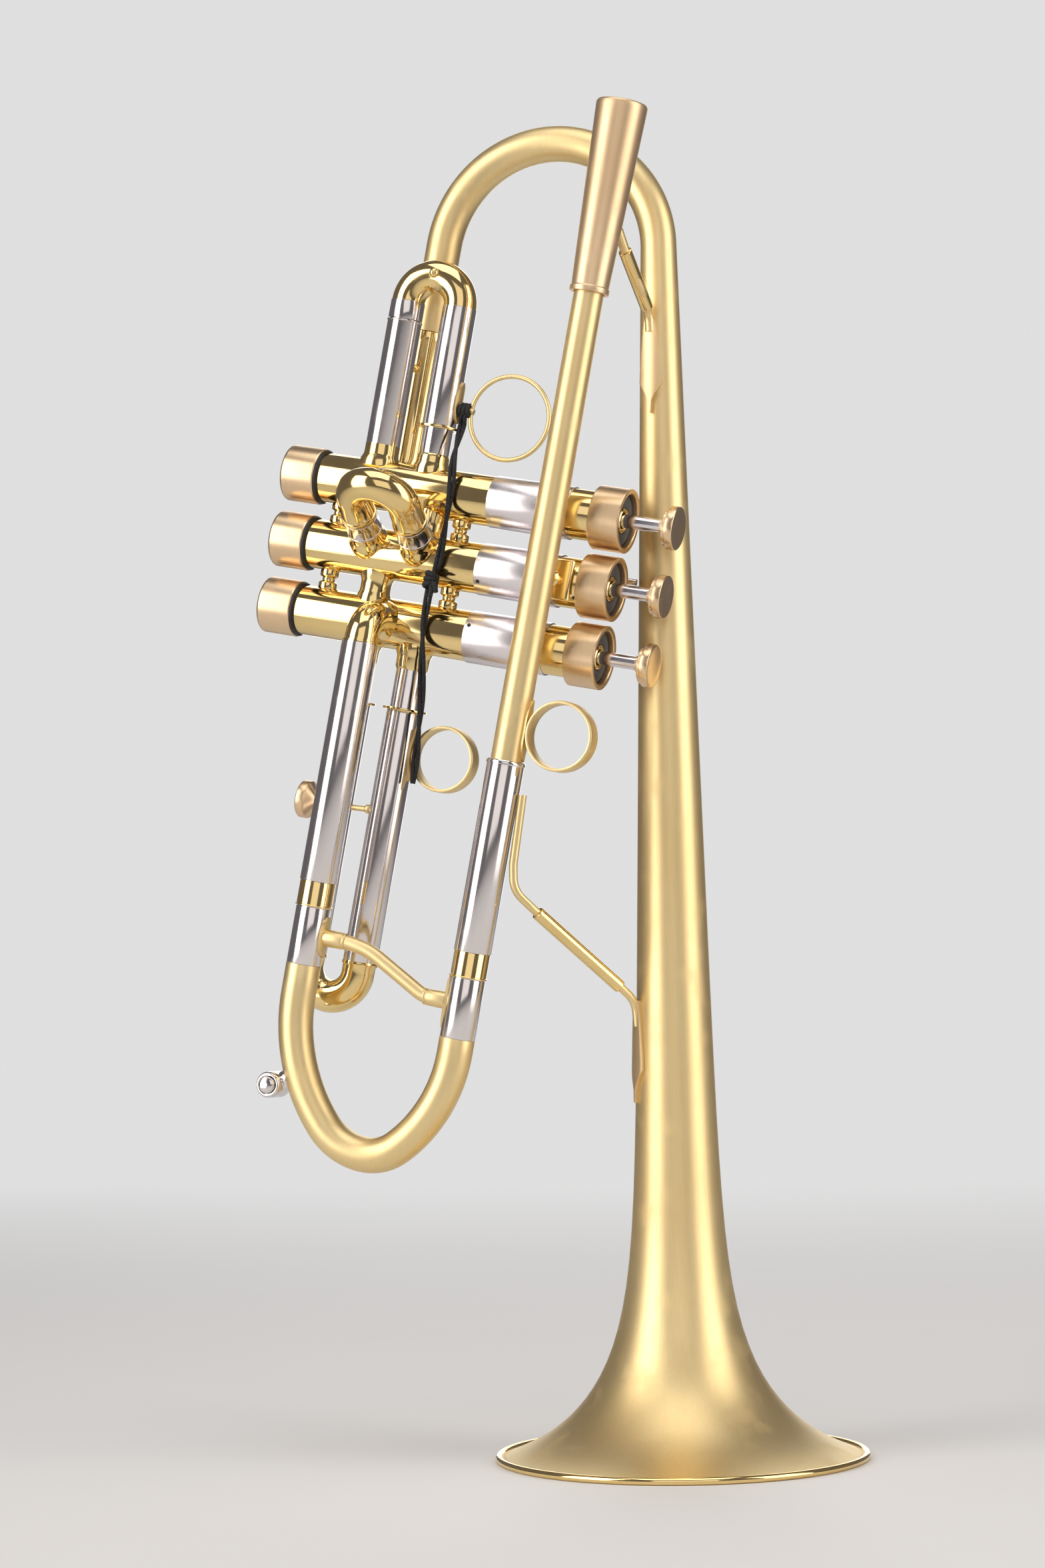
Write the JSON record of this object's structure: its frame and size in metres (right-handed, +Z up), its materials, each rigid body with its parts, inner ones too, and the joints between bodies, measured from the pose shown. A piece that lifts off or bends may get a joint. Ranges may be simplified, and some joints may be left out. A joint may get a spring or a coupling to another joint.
{
  "type": "trumpet",
  "caption": "Raw brass trumpet standing on its bell, with piston valves, sliding tuning crooks, finger rings, braces, an elastic cord and a push-button water key.",
  "frame": {"origin": "centre of the whole trumpet's box, on the plane the bell rim stands on", "axes": "+Z up the bell from its mouth, +X from the bottom caps towards the valve buttons, -Y towards the leadpipe side"},
  "size_m": [0.2138, 0.132, 0.4808],
  "materials": {
    "satin_brass": "satin raw brass",
    "copper_brass": "brushed copper-toned brass",
    "polished_brass": "polished",
    "nickel_silver": "polished nickel silver, a copper alloy about as dense as brass",
    "spring_steel": "bright wire",
    "piston_metal": "lapped",
    "black_felt": "felt",
    "black_elastic": "matt elastic"
  },
  "bodies": {
    "body": {"bell": "satin_brass", "bell_rim": "polished_brass", "bell_tail_port": "polished_brass", "receiver": "copper_brass", "leadpipe": "satin_brass", "leadpipe_ring": "satin_brass", "main_slide_upper_sleeve": "nickel_silver", "main_slide_lower_sleeve": "nickel_silver", "valve_3_elbow": "polished_brass", "first_slide_lower_sleeve": "nickel_silver", "first_slide_upper_tube": "nickel_silver", "second_slide_lower_sleeve": "nickel_silver", "second_slide_upper_sleeve": "nickel_silver", "third_slide_lower_tube": "nickel_silver", "third_slide_upper_tube": "nickel_silver", "link_1_2_lower": "polished_brass", "link_1_2_upper": "polished_brass", "link_2_3_lower": "polished_brass", "link_2_3_upper": "polished_brass", "port_1_2": "polished_brass", "port_2_3": "polished_brass", "upper_bell_brace": "satin_brass", "lower_bell_brace": "satin_brass", "leadpipe_valve_brace": "polished_brass", "valve_bell_brace": "nickel_silver", "keeper_cord_upper": "black_elastic", "keeper_cord_knot": "black_elastic", "keeper_cord_lower": "black_elastic", "valve_1_casing": "polished_brass", "valve_1_bottom_cap": "copper_brass", "valve_1_top_cap": "copper_brass", "valve_1_cap_felt": "black_felt", "valve_1_spring": "spring_steel", "valve_2_casing": "polished_brass", "valve_2_bottom_cap": "copper_brass", "valve_2_top_cap": "copper_brass", "valve_2_cap_felt": "black_felt", "valve_2_spring": "spring_steel", "valve_3_casing": "polished_brass", "valve_3_bottom_cap": "copper_brass", "valve_3_top_cap": "copper_brass", "valve_3_cap_felt": "black_felt", "valve_3_spring": "spring_steel"},
    "valve_1": {"valve_1_piston": "piston_metal", "valve_1_button": "satin_brass"},
    "valve_2": {"valve_2_piston": "piston_metal", "valve_2_button": "satin_brass"},
    "valve_3": {"valve_3_piston": "piston_metal", "valve_3_button": "satin_brass"},
    "first_slide": {"first_slide_crook": "polished_brass", "first_slide_ring": "satin_brass"},
    "second_slide": {"second_slide_crook": "polished_brass"},
    "third_slide": {"third_slide_crook": "polished_brass", "third_slide_ring": "satin_brass", "third_slide_knob": "copper_brass"},
    "main_slide": {"main_slide_bow": "satin_brass", "main_slide_brace": "satin_brass", "water_key_barrel": "nickel_silver"},
    "water_key": {"water_key_button": "nickel_silver"}
  },
  "joints": [
    {"name": "valve_1_press", "type": "slide", "parent": "body", "child": "valve_1", "axis": [-0.9791, 0, 0.2035], "range_m": [0, 0.016], "stiffness_N_per_m": 100, "springref_m": -0.015, "deforming": ["valve_1_spring"]},
    {"name": "valve_2_press", "type": "slide", "parent": "body", "child": "valve_2", "axis": [-0.9791, 0, 0.2035], "range_m": [0, 0.016], "stiffness_N_per_m": 100, "springref_m": -0.015, "deforming": ["valve_2_spring"]},
    {"name": "valve_3_press", "type": "slide", "parent": "body", "child": "valve_3", "axis": [-0.9791, 0, 0.2035], "range_m": [0, 0.016], "stiffness_N_per_m": 100, "springref_m": -0.015, "deforming": ["valve_3_spring"]},
    {"name": "first_slide_pull", "type": "slide", "parent": "body", "child": "first_slide", "axis": [0.2035, 0, 0.9791], "range_m": [0, 0.018]},
    {"name": "second_slide_pull", "type": "slide", "parent": "body", "child": "second_slide", "axis": [0.1078, -0.8481, 0.5188], "range_m": [0, 0.006]},
    {"name": "third_slide_pull", "type": "slide", "parent": "body", "child": "third_slide", "axis": [-0.2035, 0, -0.9791], "range_m": [0, 0.022]},
    {"name": "main_slide_pull", "type": "slide", "parent": "body", "child": "main_slide", "axis": [-0.2035, 0, -0.9791], "range_m": [0, 0.03]},
    {"name": "water_key_press", "type": "slide", "parent": "main_slide", "child": "water_key", "axis": [0, 1, 0], "range_m": [0, 0.002], "stiffness_N_per_m": 300, "springref_m": -0.004}
  ]
}
